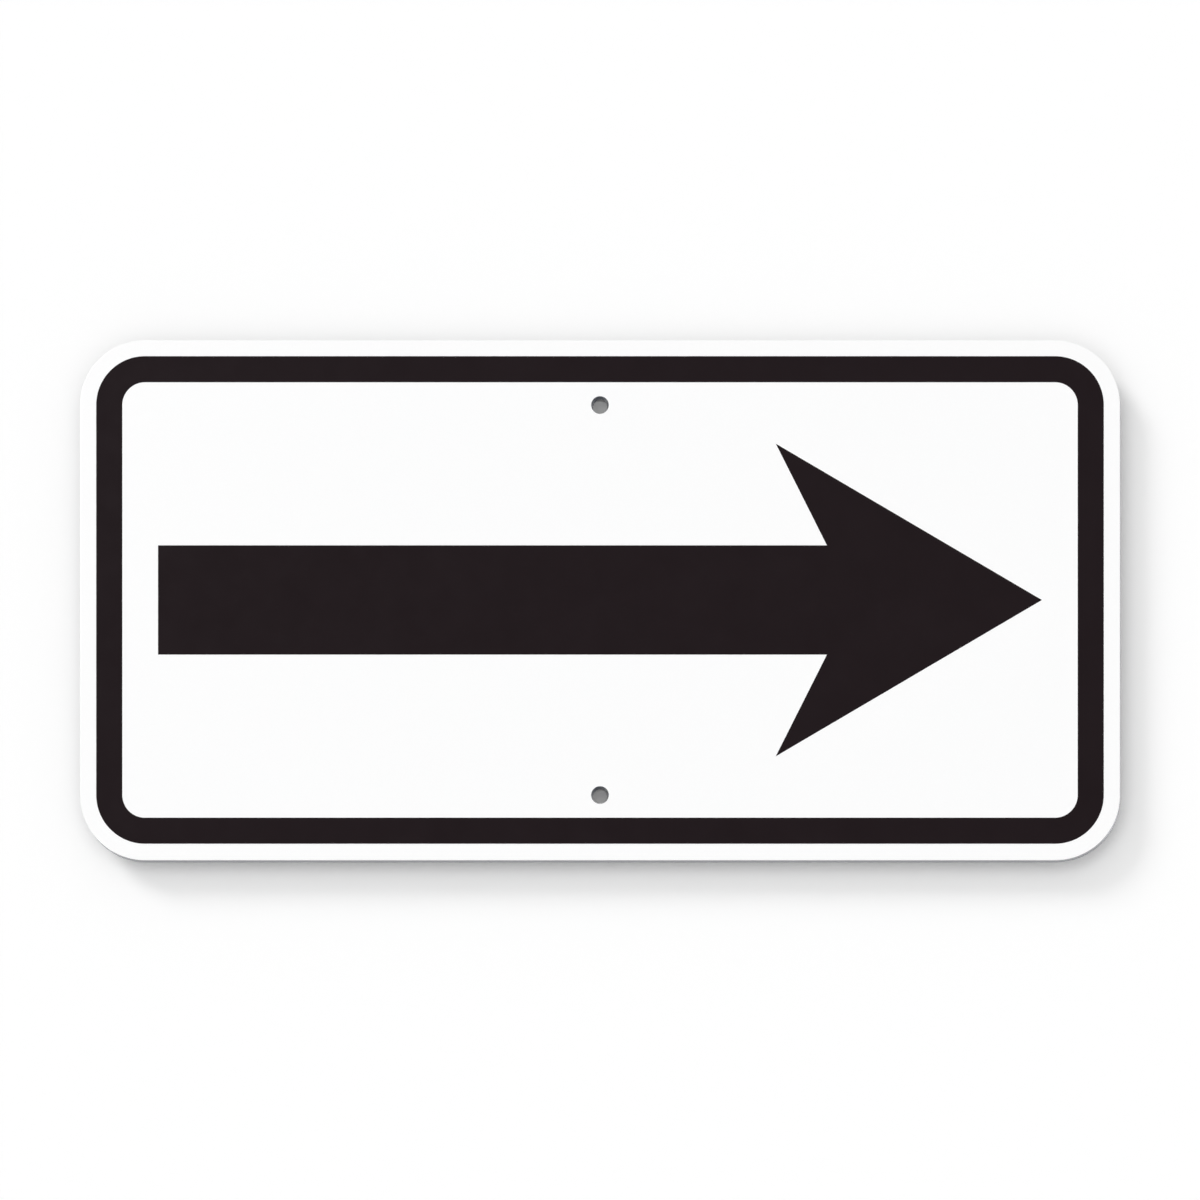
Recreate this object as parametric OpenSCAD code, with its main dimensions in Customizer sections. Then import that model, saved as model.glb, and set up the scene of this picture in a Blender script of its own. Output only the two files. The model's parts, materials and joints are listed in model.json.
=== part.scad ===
/* [Blank] */
// Width of the aluminium blank, left to right
blank_w = 609.6; // [450:0.1:1200]
// Height of the blank, bottom to top
blank_h = 304.8; // [230:0.1:600]
// Thickness of the aluminium sheet
blank_t = 2.032; // [1.2:0.001:4]
// Radius of the blank's four corners
corner_r = 38.1; // [30:0.1:60]
// Radius that shearing rolls onto the front edge of the blank
roll_r = 0.5; // [0.2:0.05:0.6]

/* [Bolt holes] */
// Diameter of each punched bolt hole
hole_d = 9.525; // [6:0.005:14]
// Distance from the centre of a hole to the nearest edge, top or bottom
hole_inset = 38.1; // [34:0.1:55]
// Size of the bevel that punching leaves at the front of a hole
hole_break = 0.2; // [0.1:0.05:0.5]

/* [Sheeting] */
// Thickness of the white sheeting on the front of the blank
sheeting_t = 0.3; // [0.15:0.01:0.6]

/* [Border] */
// White margin between the edge of the blank and the border
border_margin = 9.525; // [6:0.005:12]
// Width of the black border line
border_w = 15.24; // [8:0.01:17]
// Thickness of the black film that the border and the arrow are cut from
film_t = 0.1; // [0.05:0.01:0.3]

/* [Arrow] */
// White gap between the border and each end of the arrow
arrow_end_gap = 21; // [8:0.5:60]
// White gap between the border and the arrow head, above and below
arrow_side_gap = 36; // [20:0.5:50]
// Height of the arrow's shaft
shaft_h = 64; // [30:1:90]
// Length of the arrow head, from its tip to its barbs
head_l = 156; // [110:1:200]
// How far the back of the head slopes forward, from the barbs to the shaft
head_sweep = 30; // [0:1:50]

/* [Hidden] */

// Facets of a full turn in a preview
$fn = 96;
// How far a cutting shape runs past the face that it cuts
over = 1;
// The least corner radius left inside a wide border
least_r = 1;

// Half the distance between the two holes
hole_z = blank_h / 2 - hole_inset;
// Inset of the border's inner edge from the edge of the blank
panel_inset = border_margin + border_w;
// Height above the back face at which the films lie
film_seat = blank_t + sheeting_t;
// The arrow fills the panel inside the border, less its gaps
arrow_l = blank_w - 2 * (panel_inset + arrow_end_gap);
head_h = blank_h - 2 * (panel_inset + arrow_side_gap);

// Turns a shape drawn flat, with its back on z = 0, to stand upright and face -Y
module stand_up() {
    rotate([90, 0, 0]) children();
}

// Outline of the blank, drawn smaller by an inset all round, with concentric corners
module inset_outline(inset) {
    w = blank_w - 2 * inset;
    h = blank_h - 2 * inset;
    r = max(corner_r - inset, least_r);
    square([w - 2 * r, h], center = true);
    square([w, h - 2 * r], center = true);
    for (x = [-1, 1], y = [-1, 1])
        translate([x * (w / 2 - r), y * (h / 2 - r)]) circle(r);
}

// Section of the rim, from the flat middle out to the edge: square at the back, rolled at the front
module rim_section() {
    square([corner_r - roll_r, blank_t]);
    square([corner_r, blank_t - roll_r]);
    translate([corner_r - roll_r, blank_t - roll_r]) intersection() {
        circle(roll_r);
        square(roll_r);
    }
}

// Straight stretch of the rim that faces +X and lies across the X axis
module rim_edge(length) {
    translate([0, length / 2, 0]) rotate([90, 0, 0]) linear_extrude(length) rim_section();
}

// Quarter turn of the rim, from +X round to +Y
module rim_corner() {
    rotate_extrude(angle = 90) rim_section();
}

// The whole sheet before punching
module sheared_sheet() {
    flat_w = blank_w - 2 * corner_r;
    flat_h = blank_h - 2 * corner_r;
    translate([-flat_w / 2, -flat_h / 2, 0]) cube([flat_w, flat_h, blank_t]);
    for (turn = [0, 180]) rotate([0, 0, turn]) {
        translate([flat_w / 2, 0, 0]) rim_edge(flat_h);
        translate([0, flat_h / 2, 0]) rotate([0, 0, 90]) rim_edge(flat_w);
        translate([flat_w / 2, flat_h / 2, 0]) rim_corner();
        translate([-flat_w / 2, flat_h / 2, 0]) rotate([0, 0, 90]) rim_corner();
    }
}

// One bolt hole, with its bevel at the front face
module punched_hole() {
    translate([0, 0, -over]) cylinder(h = blank_t + 2 * over, d = hole_d);
    translate([0, 0, blank_t - hole_break])
        cylinder(h = hole_break + over, r1 = hole_d / 2, r2 = hole_d / 2 + hole_break + over);
}

// Places its children at both holes
module at_holes() {
    for (y = [-1, 1]) translate([0, y * hole_z, 0]) children();
}

// Flat aluminium blank that carries everything and takes the bolts
module aluminium_blank() {
    color([0.72, 0.74, 0.76]) stand_up() difference() {
        sheared_sheet();
        at_holes() punched_hole();
    }
}

// White face sheeting, trimmed where the edge starts to roll and where the holes are bevelled
module white_sheeting() {
    color([0.98, 0.98, 0.98]) stand_up() translate([0, 0, blank_t]) linear_extrude(sheeting_t)
        difference() {
            inset_outline(roll_r);
            at_holes() circle(d = hole_d + 2 * hole_break);
        }
}

// Black border, one closed ring with corners concentric with those of the blank
module border_film() {
    color([0.14, 0.12, 0.125]) stand_up() translate([0, 0, film_seat]) linear_extrude(film_t)
        difference() {
            inset_outline(border_margin);
            inset_outline(panel_inset);
        }
}

// Plain black arrow that points along +X, centred in the panel
module arrow_film() {
    tip = arrow_l / 2;
    barb = tip - head_l;
    neck = barb + head_sweep;
    color([0.14, 0.12, 0.125]) stand_up() translate([0, 0, film_seat]) linear_extrude(film_t)
        polygon([
            [tip, 0],
            [barb, head_h / 2],
            [neck, shaft_h / 2],
            [-tip, shaft_h / 2],
            [-tip, -shaft_h / 2],
            [neck, -shaft_h / 2],
            [barb, -head_h / 2]
        ]);
}

aluminium_blank();
white_sheeting();
border_film();
arrow_film();
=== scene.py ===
import json
import math

import bmesh
import bpy
from mathutils import Matrix, Vector


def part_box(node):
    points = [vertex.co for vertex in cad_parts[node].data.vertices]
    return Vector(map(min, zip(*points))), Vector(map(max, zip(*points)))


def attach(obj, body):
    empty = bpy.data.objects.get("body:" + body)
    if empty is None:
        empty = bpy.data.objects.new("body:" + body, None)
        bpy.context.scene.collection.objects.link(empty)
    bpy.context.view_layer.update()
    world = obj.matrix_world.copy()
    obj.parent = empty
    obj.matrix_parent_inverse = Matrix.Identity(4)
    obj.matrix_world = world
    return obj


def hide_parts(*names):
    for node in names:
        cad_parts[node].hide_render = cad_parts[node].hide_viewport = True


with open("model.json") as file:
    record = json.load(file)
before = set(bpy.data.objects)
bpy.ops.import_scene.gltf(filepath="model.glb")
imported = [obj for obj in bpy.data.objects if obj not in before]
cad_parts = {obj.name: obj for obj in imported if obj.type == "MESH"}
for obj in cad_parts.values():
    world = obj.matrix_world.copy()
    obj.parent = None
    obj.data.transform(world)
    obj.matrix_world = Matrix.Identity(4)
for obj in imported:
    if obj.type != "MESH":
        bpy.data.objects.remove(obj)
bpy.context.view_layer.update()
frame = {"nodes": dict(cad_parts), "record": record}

# Sizes, in metres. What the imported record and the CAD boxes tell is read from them
MM = 0.001
ROOT = "root"
BOLTS = next(m for m in frame["record"]["mounts"] if m["name"] == "bolt_holes")
HOLE_R = BOLTS["dims"]["hole_r_mm"] * MM
HOLE_Z = BOLTS["dims"]["spacing_y_mm"] * MM / 2
BLANK_LOW, BLANK_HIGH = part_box("aluminium_blank")
SHEETING_LOW, SHEETING_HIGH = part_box("white_sheeting")
BORDER_LOW, BORDER_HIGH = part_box("border_film")
HALF_W = BLANK_HIGH.x
HALF_H = BLANK_HIGH.z
BLANK_T = -BLANK_LOW.y
SHEETING_FRONT = -SHEETING_LOW.y
FILM_FRONT = -BORDER_LOW.y
ROLL_R = HALF_W - SHEETING_HIGH.x
BORDER_MARGIN = HALF_W - BORDER_HIGH.x
BORDER_W = 15.24 * MM
CORNER_R = 38.1 * MM
HOLE_BREAK = 0.2 * MM

# Edges too fine for the solids, and the distance within which two vertices are one
BACK_BEVEL = 0.08 * MM
SHEETING_EDGE_R = 0.10 * MM
SHEETING_DRAW_R = 0.20 * MM
FILM_EDGE_R = 0.04 * MM
WELD = FILM_EDGE_R / 4

# Steps of the round stretches, the angles that count as sharp, as flat and as facing front or back, and
# how far beyond its radius a hole's rim is looked for
CORNER_STEPS = 48
HOLE_STEPS = 96
ROLL_STEPS = 8
EDGE_STEPS = 3
PRESSED_STEPS = 4
SHARP_ANGLE = math.radians(40)
FLAT_ANGLE = math.radians(1)
FACING_COSINE = 0.999
HOLE_RIM = 1.0 * MM

# Colours, in linear light: the two between which each material varies, burnished and torn for the sheared
# ones. The scuffs' are added to the metal's
SHEETING_TONES = ((0.960, 0.962, 0.964), (0.982, 0.982, 0.982))
# The sheeting's rim in the holes: dark grey, painted shade round each hole
HOLE_RIM_SHADE_TONES = ((0.085, 0.090, 0.100), (0.130, 0.136, 0.148))
FILM_TONES = ((0.0068, 0.0024, 0.0037), (0.0086, 0.0038, 0.0053))
MILL_TONES = ((0.405, 0.415, 0.430), (0.505, 0.515, 0.525))
SCUFF_TONES = ((0, 0, 0), (0.10, 0.10, 0.10))
# Sheared side: darker and bluer than bare metal as painted shade, over the real burnished-to-torn step
EDGE_TONES_WITH_SHADE = ((0.347, 0.351, 0.365), (0.300, 0.307, 0.324))
# The bores: the sheared metal painted near black, painted shade inside the holes
BORE_SHADE_TONES = ((0.058, 0.063, 0.074), (0.044, 0.048, 0.057))

# Gloss: the two ends of each material's roughness, and how weakly the film reflects
SHEETING_ROUGHNESS = (0.28, 0.30)
CUT_SHEETING_ROUGHNESS = (0.45, 0.65)
FILM_ROUGHNESS = (0.20, 0.26)
MILL_ROUGHNESS = (0.26, 0.38)
SHEARED_ROUGHNESS = (0.26, 0.55)
FILM_SPECULAR = 0.10

# Noise patterns: cells per metre, how much finer noise is laid over them, and a stretch of the coordinates
BEADS = {"cells": 1600, "detail": 3.0, "roughness": 0.7}
SHEETING_CLOUD = {"cells": 12, "detail": 3.0}
SHEETING_DRIFT = {"cells": 6, "detail": 1.0}
FILM_CLOUD = {"cells": 30, "detail": 4.0, "roughness": 0.6}
FILM_DRIFT = {"cells": 90, "detail": 3.0}
SMEAR = {"stretch": (1, 0.2, 1), "cells": 2400, "detail": 3.0, "roughness": 0.6}
MILL_FINE = {"stretch": (5, 5, 2400), "detail": 3.0, "roughness": 0.65}
MILL_MIDDLE = {"stretch": (1.6, 1.6, 620), "detail": 3.0, "roughness": 0.6}
MILL_CLOUD = {"stretch": (2.5, 7, 9), "detail": 3.0, "roughness": 0.55}
SCUFF = {"stretch": (14, 14, 1500), "detail": 1.0, "roughness": 0.4}
STREAK = {"stretch": (1, 0.12, 1), "cells": 2600, "detail": 3.0, "roughness": 0.6}
TORN = {"cells": 3800, "detail": 4.0, "roughness": 0.7}

# The usual range of such noise, and the top of it, where a scuff begins and is whole
NOISE_LOW = 0.3
NOISE_HIGH = 0.7
SCUFF_START = 0.71
SCUFF_END = 0.76

# How much each pattern counts in a mixed tone, and what the slow one adds to the metal's roughness
SHEETING_CLOUD_SHARE = 0.04
MILL_FINE_SHARE = 0.55
MILL_MIDDLE_SHARE = 0.30
MILL_CLOUD_SHARE = 0.15
MILL_CLOUD_ROUGHNESS = 0.08

# Relief: each bump's pattern, height and strength, the slowest first
FILM_RELIEF = (
    ({"cells": 14, "detail": 1.0}, 0.10 * MM, 0.25),
    ({"cells": 220, "detail": 2.0}, 0.012 * MM, 0.6),
    ({"cells": 2200, "detail": 2.0}, 0.004 * MM, 0.5),
)
MILL_RELIEF = (
    (MILL_CLOUD, 0.3 * MM, 0.5),
    (MILL_MIDDLE, 0.006 * MM, 0.6),
    (MILL_FINE, 0.003 * MM, 0.7),
)
SMEAR_HEIGHT = 0.01 * MM
SMEAR_STRENGTH = 0.5
SHEARED_HEIGHT = 0.02 * MM
SHEARED_STRENGTH = 0.6

# Layers of hairline scuffs, all along the width. Each layer's turn, in degrees, and its shift come after
# the stretch, so all they do is read another part of the noise
SCUFF_LAYERS = ((14, 0.0), (-33, 5.0), (71, 9.0))

# Sheared side: the tear's unevenness, and where the burnished zone ends and the torn one starts (y)
TEAR_DEPTH = 0.5 * MM
BURNISHED_END = -0.75 * MM
TORN_START = -0.55 * MM

# Camera: the photo shows the face square on, with a little of the lower and right-hand sides. Its pixels
# set the frame's width at the face. Per metre away, the camera stands this far to the right and up, and
# down for a minus
PHOTO_PX = 1200
PLAQUE_PX = 1040
LENS_MM = 200
SENSOR_MM = 36
LEAN_X = 0.28
LEAN_Z = -0.60

# Stage: a wall close behind the plaque and a floor far below. The camera doesn't see the wall's middle,
# which fades out between two insets from the outline, and fades in again round the holes. It sees the
# albedo and the glow, and bounced light sees the bounce
WALL_GAP = 11.0 * MM
WALL_HALF = 5.0
WALL_TOP = 4.0
WALL_ALBEDO = 1.0
WALL_BOUNCE = 0.9
WALL_GLOW = 0.0
MIDDLE_START = 15 * MM
MIDDLE_END = 21 * MM
HOLE_VIEW_R = 22 * MM
HOLE_VIEW_EDGE = 4 * MM
FLOOR_Z = -2.6
FLOOR_HALF = 60.0
FLOOR_ALBEDO = 0.9
FLOOR_GLOW = 0.62
FIRST_BOUNCE = 1
NEVER = 100

# Light: the even sky, then suns with direction, half angle in radians and level. A level is what a lamp
# adds to a white face that looks along -Y. With the sky's they add up to about 1
AMBIENT = 0.440
SUNS = (
    ("key", (-0.644, -0.482, 0.594), 0.21, 0.157),
    ("front_fill", (0.150, -0.899, -0.41), 0.68, 0.279),
    ("near_lens", (0.345, -1, -0.53), 0.035, 0.125),
)

# Softboxes, which show in gloss and metal alone: side in metres, then each one's place and power in watts
SOFTBOX_SIZE = 1.2
SOFTBOXES = (
    ("edge_softbox", (-1.6, -1.0, 1.6), 24),
    ("back_softbox", (1.6, 1.7, 0.1), 2.4),
)


# Meshes

def outline_loop(inset):
    """Points (x, z) round the outline, drawn in by inset. Every loop has as many, in the same order."""
    points = []
    for quarter, (side_x, side_z) in enumerate(((1, 1), (-1, 1), (-1, -1), (1, -1))):
        centre_x = side_x * (HALF_W - CORNER_R)
        centre_z = side_z * (HALF_H - CORNER_R)
        for step in range(CORNER_STEPS + 1):
            turn = (quarter + step / CORNER_STEPS) * math.pi / 2
            reach = CORNER_R - inset
            points.append((centre_x + reach * math.cos(turn), centre_z + reach * math.sin(turn)))
    return points


def hole_loop(radius, centre_z):
    """Points (x, z) round a hole."""
    turns = [2 * math.pi * step / HOLE_STEPS for step in range(HOLE_STEPS)]
    return [(radius * math.cos(t), centre_z + radius * math.sin(t)) for t in turns]


def rounded_edge(start, depth, radius, steps):
    """Section (offset, depth) of an edge that turns from the side, at start and depth, to the front."""
    angles = [math.pi / 2 * step / steps for step in range(steps + 1)]
    return [(start + radius * (1 - math.cos(a)), depth + radius * math.sin(a)) for a in angles]


def pressed_edge():
    """Section (offset, depth) of sheeting pressed down over the blank's rolled edge, out to its side."""
    centre_depth = BLANK_T - ROLL_R
    front_r = SHEETING_FRONT - centre_depth
    turn_r = front_r - SHEETING_EDGE_R
    turn = math.asin((ROLL_R - SHEETING_EDGE_R) / turn_r)
    end = turn + math.atan2(SHEETING_EDGE_R, turn_r)

    def on_roll(radius, angle):
        return ROLL_R - radius * math.sin(angle), centre_depth + radius * math.cos(angle)

    middle_offset, middle_depth = on_roll(turn_r, turn)
    section = [on_roll(ROLL_R, end * step / PRESSED_STEPS) for step in range(PRESSED_STEPS + 1)]
    for step in range(EDGE_STEPS):
        angle = math.pi / 2 * step / EDGE_STEPS - turn
        offset = middle_offset - SHEETING_EDGE_R * math.cos(angle)
        section.append((offset, middle_depth + SHEETING_EDGE_R * math.sin(angle)))
    section += [on_roll(front_r, turn * step / PRESSED_STEPS) for step in range(PRESSED_STEPS, -1, -1)]
    return section


def add_ring(bm, loop, depth):
    """A ring of vertices at a depth in front of the back face."""
    return [bm.verts.new((x, -depth, z)) for x, z in loop]


def bridge(bm, rings, closed=False):
    """Quads between each ring and the next."""
    pairs = list(zip(rings, rings[1:]))
    if closed:
        pairs.append((rings[-1], rings[0]))
    for low, high in pairs:
        for i in range(len(low)):
            j = (i + 1) % len(low)
            bm.faces.new((low[i], low[j], high[j], high[i]))


def fill_between(bm, rings):
    """Triangles over the flat face that lies inside the first ring and outside the others."""
    edges = [bm.edges.get((ring[i - 1], ring[i])) for ring in rings for i in range(len(ring))]
    bmesh.ops.triangle_fill(bm, use_beauty=True, edges=edges)


def plate_with_holes(bm, outer_sections, hole_sections):
    """A closed plate. Sections (offset, depth) run from back to front: outline insets and hole radii."""
    outer = [add_ring(bm, outline_loop(inset), depth) for inset, depth in outer_sections]
    bridge(bm, outer)
    holes = []
    for centre_z in (HOLE_Z, -HOLE_Z):
        rings = [add_ring(bm, hole_loop(radius, centre_z), depth) for radius, depth in hole_sections]
        bridge(bm, rings)
        holes.append(rings)
    fill_between(bm, [outer[0]] + [rings[0] for rings in holes])
    fill_between(bm, [outer[-1]] + [rings[-1] for rings in holes])
    bm.normal_update()


def is_side(face):
    """Whether a face looks neither straight to the front nor straight to the back."""
    return abs(face.normal.y) < FACING_COSINE


def near_hole(face):
    """Whether a face belongs to the wall or the rim of a hole."""
    spot = face.calc_center_median()
    return math.hypot(spot.x, abs(spot.z) - HOLE_Z) < HOLE_R + HOLE_RIM


def finish_piece(bm, name, node, materials):
    """Turns a bmesh into a smooth-shaded piece that stands for a CAD node."""
    bmesh.ops.recalc_face_normals(bm, faces=bm.faces[:])
    mesh = bpy.data.meshes.new(name)
    bm.to_mesh(mesh)
    bm.free()
    piece = bpy.data.objects.new(name, mesh)
    bpy.context.scene.collection.objects.link(piece)
    for material in materials:
        mesh.materials.append(material)
    mesh.shade_smooth()
    mesh.set_sharp_from_angle(angle=SHARP_ANGLE)
    weighted = piece.modifiers.new("flat_faces_stay_flat", "WEIGHTED_NORMAL")
    weighted.keep_sharp = True
    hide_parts(node)
    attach(piece, ROOT)


# Pieces

def make_blank(face_material, edge_material, bore_material):
    """The aluminium sheet: fine bevel at the back, sheared side, rolled front edge and punched holes."""
    outer = [(BACK_BEVEL, 0), (0, BACK_BEVEL)]
    outer += rounded_edge(0, BLANK_T - ROLL_R, ROLL_R, ROLL_STEPS)
    hole = [(HOLE_R + BACK_BEVEL, 0), (HOLE_R, BACK_BEVEL)]
    hole += rounded_edge(HOLE_R, BLANK_T - HOLE_BREAK, HOLE_BREAK, EDGE_STEPS)
    bm = bmesh.new()
    plate_with_holes(bm, outer, hole)
    # The sheared side and the bores take colours that carry painted shade
    for face in filter(is_side, bm.faces):
        face.material_index = 2 if near_hole(face) else 1
    materials = [face_material, edge_material, bore_material]
    finish_piece(bm, "punched_blank", "aluminium_blank", materials)


def make_sheeting(material, rim_shade_material):
    """The white sheeting, pressed down over the rolled edge and drawn slightly into the holes."""
    hole_r = HOLE_R + HOLE_BREAK
    hole = [(hole_r, BLANK_T)]
    hole += rounded_edge(hole_r, SHEETING_FRONT - SHEETING_DRAW_R, SHEETING_DRAW_R, EDGE_STEPS)
    bm = bmesh.new()
    plate_with_holes(bm, pressed_edge(), hole)
    # Faces in a hole take the rim material, which is painted shade
    for face in filter(is_side, bm.faces):
        face.material_index = 1 if near_hole(face) else 0
    finish_piece(bm, "face_sheeting", "white_sheeting", [material, rim_shade_material])


def make_border(material):
    """The black border: one section swept all the way round."""
    inner_inset = BORDER_MARGIN + BORDER_W
    side = rounded_edge(0, FILM_FRONT - FILM_EDGE_R, FILM_EDGE_R, EDGE_STEPS)
    section = [(BORDER_MARGIN, SHEETING_FRONT)]
    section += [(BORDER_MARGIN + offset, depth) for offset, depth in side]
    section += [(inner_inset - offset, depth) for offset, depth in reversed(side)]
    section += [(inner_inset, SHEETING_FRONT)]
    bm = bmesh.new()
    bridge(bm, [add_ring(bm, outline_loop(inset), depth) for inset, depth in section], closed=True)
    finish_piece(bm, "border_line", "border_film", [material])


def make_arrow(material):
    """The black arrow: the CAD outline, joined up into flat faces, with its edges rounded."""
    bm = bmesh.new()
    bm.from_mesh(frame["nodes"]["arrow_film"].data)
    bmesh.ops.remove_doubles(bm, verts=bm.verts[:], dist=WELD)
    bmesh.ops.dissolve_limit(bm, angle_limit=FLAT_ANGLE, verts=bm.verts[:], edges=bm.edges[:])
    front = [e for e in bm.edges if all(-v.co.y > FILM_FRONT - FILM_EDGE_R for v in e.verts)]
    bmesh.ops.bevel(bm, geom=front, offset=FILM_EDGE_R, segments=EDGE_STEPS, profile=0.5, affect="EDGES")
    finish_piece(bm, "arrow_symbol", "arrow_film", [material])


# Shader nodes

def new_material(name):
    """A material, its node tree and its Principled shader."""
    material = bpy.data.materials.new(name)
    material.use_nodes = True
    tree = material.node_tree
    return material, tree, tree.nodes["Principled BSDF"]


def feed(tree, socket, value):
    """Links an input socket to an output, or sets it to a value."""
    if isinstance(value, bpy.types.NodeSocket):
        tree.links.new(value, socket)
    else:
        socket.default_value = value


def add_node(tree, kind, settings=None, **sockets):
    """A node with its settings, and its sockets fed by name."""
    node = tree.nodes.new(kind)
    for key, value in (settings or {}).items():
        setattr(node, key, value)
    for key, value in sockets.items():
        feed(tree, node.inputs[key.replace("_", " ")], value)
    return node


def calculate(tree, operation, *values, clamp=False):
    """The result of a sum on numbers and outputs."""
    made = add_node(tree, "ShaderNodeMath", {"operation": operation, "use_clamp": clamp})
    for socket, value in zip(made.inputs, values):
        feed(tree, socket, value)
    return made.outputs[0]


def vector_math(tree, operation, first, second=(0, 0, 0)):
    """The result of a vector operation on an output and a fixed vector."""
    made = add_node(tree, "ShaderNodeVectorMath", {"operation": operation})
    feed(tree, made.inputs[0], first)
    feed(tree, made.inputs[1], second)
    return made.outputs["Value" if operation in ("LENGTH", "DISTANCE") else "Vector"]


def object_coords(tree, stretch=(1, 1, 1), turn=0.0, shift=0.0):
    """Object coordinates in metres: stretched, then turned about the y axis, then shifted."""
    coords = add_node(tree, "ShaderNodeTexCoord")
    mapping = add_node(
        tree,
        "ShaderNodeMapping",
        Vector=coords.outputs["Object"],
        Scale=stretch,
        Rotation=(0, turn, 0),
        Location=(shift, shift, shift),
    )
    return mapping.outputs["Vector"]


def noise(tree, detail, cells=1.0, roughness=0.5, **placing):
    """A noise pattern. Stretch, turn and shift go to its object coordinates."""
    vector = object_coords(tree, **placing)
    made = add_node(
        tree, "ShaderNodeTexNoise", Vector=vector, Scale=cells, Detail=detail, Roughness=roughness
    )
    return made.outputs["Fac"]


def spread(tree, value, low, high, start=NOISE_LOW, end=NOISE_HIGH):
    """The value's usual range, start to end, stretched to low to high and held there."""
    made = add_node(
        tree, "ShaderNodeMapRange", Value=value, From_Min=start, From_Max=end, To_Min=low, To_Max=high
    )
    return made.outputs["Result"]


def blend_colours(tree, factor, first, second, blend="MIX"):
    """A blend of two colours by a factor. Each is a triple or an output."""
    made = add_node(tree, "ShaderNodeMix", {"data_type": "RGBA", "blend_type": blend}, Factor=factor)
    for socket, colour in zip(made.inputs[6:8], (first, second)):
        feed(tree, socket, (*colour, 1) if isinstance(colour, tuple) else colour)
    return made.outputs[2]


def bump(tree, height, distance, strength, under=None):
    """A bump of a height pattern, laid over another one if given."""
    made = add_node(tree, "ShaderNodeBump", Height=height, Distance=distance, Strength=strength)
    if under is not None:
        feed(tree, made.inputs["Normal"], under)
    return made.outputs["Normal"]


def relief(tree, bumps):
    """Bumps laid over one another, each with its pattern, height and strength."""
    normal = None
    for pattern, height, strength in bumps:
        normal = bump(tree, noise(tree, **pattern), height, strength, normal)
    return normal


# Materials

def white_sheeting_material():
    """White reflective sheeting: satin, with fine beads and the faintest unevenness in tone."""
    material, tree, shader = new_material("white_reflective_sheeting")
    beads = spread(tree, noise(tree, **BEADS), 0.0, 1 - SHEETING_CLOUD_SHARE)
    cloud = spread(tree, noise(tree, **SHEETING_CLOUD), 0.0, 1.0)
    tone = calculate(tree, "MULTIPLY_ADD", cloud, SHEETING_CLOUD_SHARE, beads)
    drift = noise(tree, **SHEETING_DRIFT)
    feed(tree, shader.inputs["Base Color"], blend_colours(tree, tone, *SHEETING_TONES))
    feed(tree, shader.inputs["Roughness"], spread(tree, drift, *SHEETING_ROUGHNESS))
    feed(tree, shader.inputs["Normal"], relief(tree, FILM_RELIEF))
    return material


def hole_rim_shade_material():
    """The rim of the sheeting in a hole: painted shade, dark grey, with streaks in tone and gloss."""
    material, tree, shader = new_material("sheeting_hole_rim_painted_shade")
    smear = noise(tree, **SMEAR)
    tone = spread(tree, smear, 0, 1)
    feed(tree, shader.inputs["Base Color"], blend_colours(tree, tone, *HOLE_RIM_SHADE_TONES))
    feed(tree, shader.inputs["Roughness"], spread(tree, smear, *CUT_SHEETING_ROUGHNESS))
    feed(tree, shader.inputs["Normal"], bump(tree, smear, SMEAR_HEIGHT, SMEAR_STRENGTH))
    return material


def black_film_material():
    """Opaque black film, a little warm, with a satin gloss that changes slightly from place to place."""
    material, tree, shader = new_material("black_satin_film")
    tone = spread(tree, noise(tree, **FILM_CLOUD), 0, 1)
    drift = noise(tree, **FILM_DRIFT)
    feed(tree, shader.inputs["Base Color"], blend_colours(tree, tone, *FILM_TONES))
    feed(tree, shader.inputs["Roughness"], spread(tree, drift, *FILM_ROUGHNESS))
    feed(tree, shader.inputs["Normal"], relief(tree, FILM_RELIEF))
    shader.inputs["Specular IOR Level"].default_value = FILM_SPECULAR
    return material


def mill_aluminium_material():
    """Mill finish: fine rolled grain along the width, a slow drift in tone, and a few hairline scuffs."""
    material, tree, shader = new_material("mill_finish_aluminium")
    fine = noise(tree, **MILL_FINE)
    middle = noise(tree, **MILL_MIDDLE)
    cloud = noise(tree, **MILL_CLOUD)
    fine_part = spread(tree, fine, 0.0, MILL_FINE_SHARE)
    middle_part = spread(tree, middle, 0.0, MILL_MIDDLE_SHARE)
    cloud_part = spread(tree, cloud, 0.0, MILL_CLOUD_SHARE)
    tone = calculate(tree, "ADD", calculate(tree, "ADD", fine_part, middle_part), cloud_part)
    grain = blend_colours(tree, tone, *MILL_TONES)
    scuffs = blend_colours(tree, scuff_pattern(tree), *SCUFF_TONES)
    fine_roughness = spread(tree, fine, *MILL_ROUGHNESS)
    cloud_roughness = spread(tree, cloud, 0.0, MILL_CLOUD_ROUGHNESS)
    feed(tree, shader.inputs["Base Color"], blend_colours(tree, 1.0, grain, scuffs, "ADD"))
    feed(tree, shader.inputs["Roughness"], calculate(tree, "ADD", fine_roughness, cloud_roughness))
    feed(tree, shader.inputs["Normal"], relief(tree, MILL_RELIEF))
    shader.inputs["Metallic"].default_value = 1.0
    return material


def scuff_pattern(tree):
    """Sparse hairlines from handling, along the grain: 1 on a line and 0 off it."""
    total = 0.0
    for degrees, shift in SCUFF_LAYERS:
        pattern = noise(tree, **SCUFF, turn=math.radians(degrees), shift=shift)
        lines = spread(tree, pattern, 0.0, 1.0, SCUFF_START, SCUFF_END)
        total = calculate(tree, "MAXIMUM", total, lines)
    return total


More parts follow.
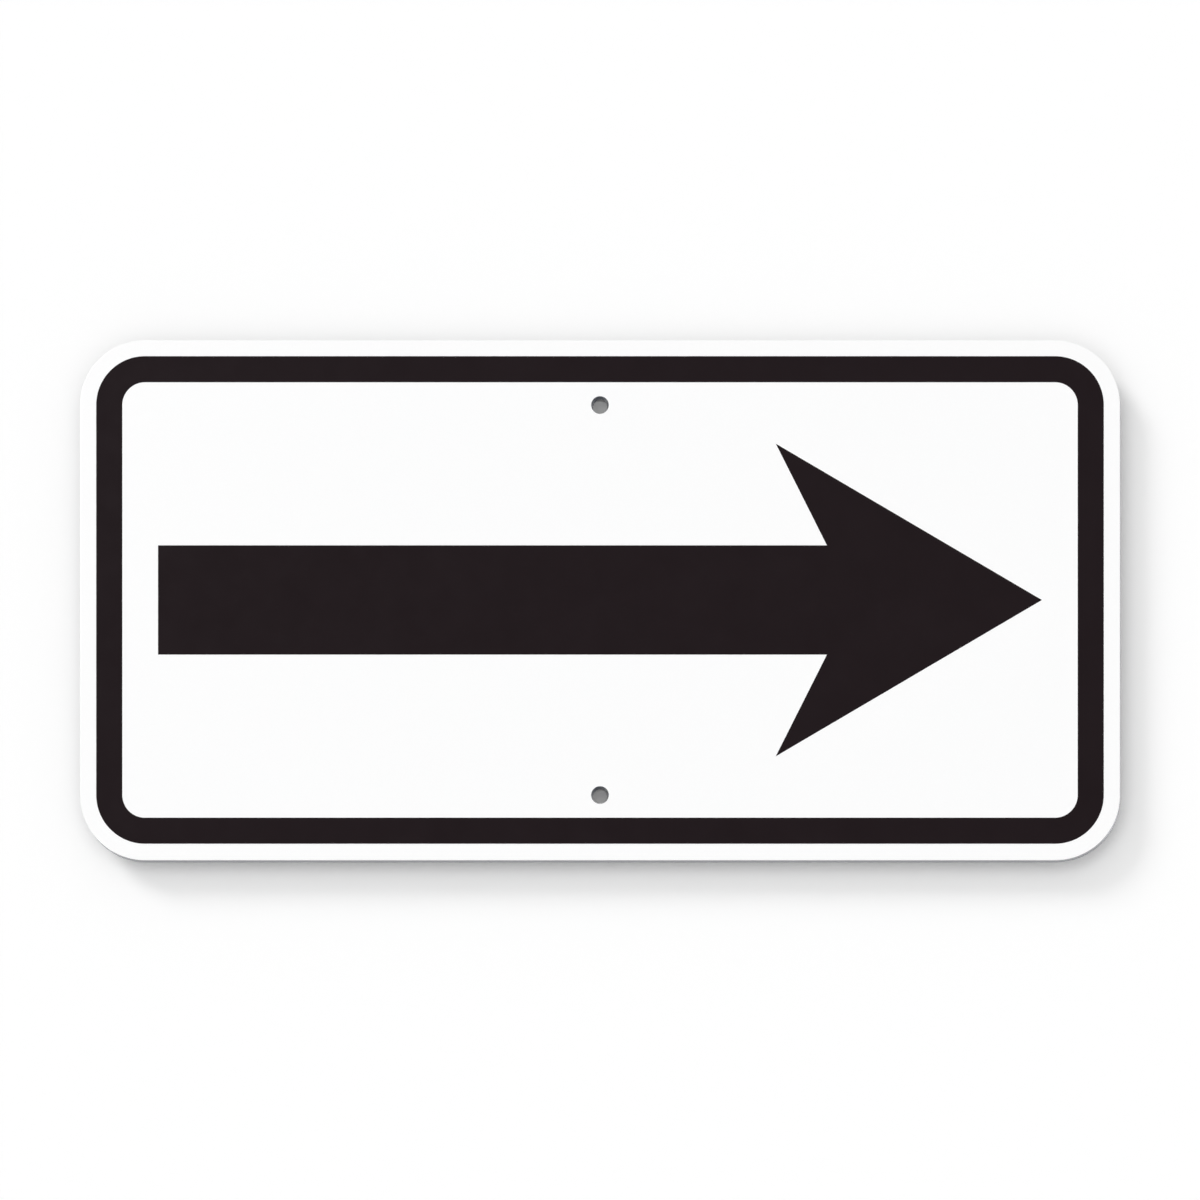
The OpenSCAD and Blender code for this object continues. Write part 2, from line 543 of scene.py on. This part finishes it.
def sheared_aluminium_material(name, burnished, torn_off):
    """Cut edge: burnished where the punch went in, torn and dull towards the back, with streaks across."""
    # Its burnished and torn colours carry painted shade: some on the side, near black in the bore
    material, tree, shader = new_material(name)
    torn = noise(tree, **TORN)
    place = add_node(tree, "ShaderNodeSeparateXYZ", Vector=object_coords(tree))
    depth = calculate(tree, "MULTIPLY_ADD", torn, TEAR_DEPTH, place.outputs["Y"])
    dull = spread(tree, depth, 0, 1, BURNISHED_END, TORN_START)
    height = add_node(tree, "ShaderNodeMix", Factor=dull, A=noise(tree, **STREAK), B=torn)
    normal = bump(tree, height.outputs["Result"], SHEARED_HEIGHT, SHEARED_STRENGTH)
    feed(tree, shader.inputs["Base Color"], blend_colours(tree, dull, burnished, torn_off))
    feed(tree, shader.inputs["Roughness"], spread(tree, dull, *SHEARED_ROUGHNESS, 0, 1))
    feed(tree, shader.inputs["Normal"], normal)
    shader.inputs["Metallic"].default_value = 1.0
    return material


# Stage, lamps and camera

def hidden_middle(tree):
    """1 where the plaque hides the wall from all but edge-on views, and 0 round it and behind the holes."""
    flat = vector_math(tree, "MULTIPLY", object_coords(tree), (1, 0, 1))
    size = vector_math(tree, "ABSOLUTE", flat)
    past = vector_math(tree, "SUBTRACT", size, (HALF_W - CORNER_R, 0, HALF_H - CORNER_R))
    reach = vector_math(tree, "LENGTH", vector_math(tree, "MAXIMUM", past))
    inside = spread(tree, reach, 1, 0, CORNER_R - MIDDLE_END, CORNER_R - MIDDLE_START)
    from_hole = vector_math(tree, "DISTANCE", size, (0, 0, HOLE_Z))
    away = spread(tree, from_hole, 0, 1, HOLE_VIEW_R, HOLE_VIEW_R + HOLE_VIEW_EDGE)
    return calculate(tree, "MULTIPLY", inside, away)


def backdrop_material(name, albedo, bounce_albedo, glow, first_bounce):
    """A pale surface that shows from its front, to the camera and to light that has bounced first_bounce
    times or more. Lamps and metal are left as they are without it. The glow is for the camera alone."""
    material, tree, shader = new_material(name)
    tree.nodes.remove(shader)
    path = add_node(tree, "ShaderNodeLightPath")
    to_camera = path.outputs["Is Camera Ray"]
    from_behind = add_node(tree, "ShaderNodeNewGeometry").outputs["Backfacing"]
    bounced = calculate(tree, "GREATER_THAN", path.outputs["Diffuse Depth"], first_bounce - 0.5)
    open_to_camera = calculate(tree, "SUBTRACT", to_camera, hidden_middle(tree), clamp=True)
    seen = calculate(tree, "MAXIMUM", open_to_camera, bounced)
    shown = calculate(tree, "SUBTRACT", seen, from_behind, clamp=True)
    colour = blend_colours(tree, to_camera, (bounce_albedo,) * 3, (albedo,) * 3)
    pale = add_node(tree, "ShaderNodeBsdfDiffuse", Color=colour)
    lit = add_node(tree, "ShaderNodeEmission", Strength=spread(tree, to_camera, 0, glow, 0, 1))
    front = add_node(tree, "ShaderNodeAddShader")
    feed(tree, front.inputs[0], pale.outputs[0])
    feed(tree, front.inputs[1], lit.outputs[0])
    clear = add_node(tree, "ShaderNodeBsdfTransparent")
    surface = add_node(tree, "ShaderNodeMixShader", Fac=shown)
    feed(tree, surface.inputs[1], clear.outputs[0])
    feed(tree, surface.inputs[2], front.outputs[0])
    feed(tree, tree.nodes["Material Output"].inputs["Surface"], surface.outputs[0])
    return material


def add_stage_plane(name, corners, material):
    """A flat stage piece through four corners."""
    mesh = bpy.data.meshes.new(name)
    mesh.from_pydata(corners, [], [(0, 1, 2, 3)])
    mesh.materials.append(material)
    plane = bpy.data.objects.new(name, mesh)
    bpy.context.scene.collection.objects.link(plane)


def make_wall():
    """A white wall just behind the plaque."""
    corners = [
        (-WALL_HALF, WALL_GAP, FLOOR_Z),
        (WALL_HALF, WALL_GAP, FLOOR_Z),
        (WALL_HALF, WALL_GAP, WALL_TOP),
        (-WALL_HALF, WALL_GAP, WALL_TOP),
    ]
    material = backdrop_material("white_wall", WALL_ALBEDO, WALL_BOUNCE, WALL_GLOW, FIRST_BOUNCE)
    add_stage_plane("stage_wall", corners, material)


def make_floor():
    """A pale floor well below the plaque."""
    corners = [
        (-FLOOR_HALF, -FLOOR_HALF, FLOOR_Z),
        (FLOOR_HALF, -FLOOR_HALF, FLOOR_Z),
        (FLOOR_HALF, FLOOR_HALF, FLOOR_Z),
        (-FLOOR_HALF, FLOOR_HALF, FLOOR_Z),
    ]
    material = backdrop_material("pale_floor", FLOOR_ALBEDO, FLOOR_ALBEDO, FLOOR_GLOW, NEVER)
    add_stage_plane("stage_floor", corners, material)


def make_world():
    """White to the camera, metal and gloss, and a lower even light on everything else."""
    world = bpy.data.worlds.new("studio")
    bpy.context.scene.world = world
    world.use_nodes = True
    tree = world.node_tree
    path = add_node(tree, "ShaderNodeLightPath").outputs
    direct = calculate(tree, "MAXIMUM", path["Is Camera Ray"], path["Is Glossy Ray"])
    shown = calculate(tree, "MAXIMUM", direct, path["Is Transmission Ray"])
    background = tree.nodes["Background"]
    background.inputs["Color"].default_value = (1, 1, 1, 1)
    feed(tree, background.inputs["Strength"], spread(tree, shown, AMBIENT, 1.0, 0, 1))
    world.cycles.sampling_method = "NONE"


def add_sun(name, direction, half_angle, level):
    """A soft distant lamp seen along direction, which gloss doesn't show."""
    towards = Vector(direction).normalized()
    lamp = bpy.data.lights.new(name, "SUN")
    lamp.angle = 2 * half_angle
    lamp.energy = level * math.pi / -towards.y
    sun = bpy.data.objects.new(name, lamp)
    sun.rotation_mode = "QUATERNION"
    sun.rotation_quaternion = towards.to_track_quat("Z", "Y")
    sun.visible_glossy = False
    bpy.context.scene.collection.objects.link(sun)


def add_softbox(name, place, power):
    """A square lamp that looks at the plaque and shows in gloss and metal alone."""
    lamp = bpy.data.lights.new(name, "AREA")
    lamp.size = SOFTBOX_SIZE
    lamp.energy = power
    box = bpy.data.objects.new(name, lamp)
    box.location = place
    box.rotation_mode = "QUATERNION"
    box.rotation_quaternion = Vector(place).to_track_quat("Z", "Y")
    box.visible_diffuse = False
    bpy.context.scene.collection.objects.link(box)


def make_lamps():
    """The suns and the softboxes."""
    for name, direction, half_angle, level in SUNS:
        add_sun(name, direction, half_angle, level)
    for name, place, power in SOFTBOXES:
        add_softbox(name, place, power)


def make_camera():
    """Stands to the lower right with its sensor parallel to the face, as a view camera with a shifted lens
    does."""
    slant = Vector((LEAN_X, 1, LEAN_Z)).length
    frame_w = 2 * HALF_W * PHOTO_PX / PLAQUE_PX
    distance = frame_w / SENSOR_MM * LENS_MM / slant
    stand = bpy.data.objects.new("camera_stand", None)
    camera = bpy.data.objects.new("camera", bpy.data.cameras.new("camera"))
    camera.data.lens = LENS_MM
    camera.data.sensor_width = SENSOR_MM
    camera.location = (0, -distance, 0)
    camera.rotation_euler = (math.pi / 2, 0, 0)
    camera.parent = stand
    camera.matrix_parent_inverse = Matrix((
        (1, -LEAN_X, 0, 0),
        (0, 1, 0, 0),
        (0, -LEAN_Z, 1, 0),
        (0, 0, 0, 1),
    ))
    stand.location = (0, -SHEETING_FRONT, 0)
    bpy.context.scene.collection.objects.link(stand)
    bpy.context.scene.collection.objects.link(camera)
    bpy.context.scene.camera = camera


def main():
    make_camera()
    make_wall()
    make_floor()
    make_world()
    make_lamps()
    black = black_film_material()
    edge = sheared_aluminium_material("sheared_edge_with_painted_shade", *EDGE_TONES_WITH_SHADE)
    # A shaded copy of the sheared edge: the bore's colours are painted shade
    bore = sheared_aluminium_material("punched_bore_painted_shade", *BORE_SHADE_TONES)
    make_blank(mill_aluminium_material(), edge, bore)
    make_sheeting(white_sheeting_material(), hole_rim_shade_material())
    make_border(black)
    make_arrow(black)
    bpy.context.scene.view_settings.view_transform = "Standard"


main()
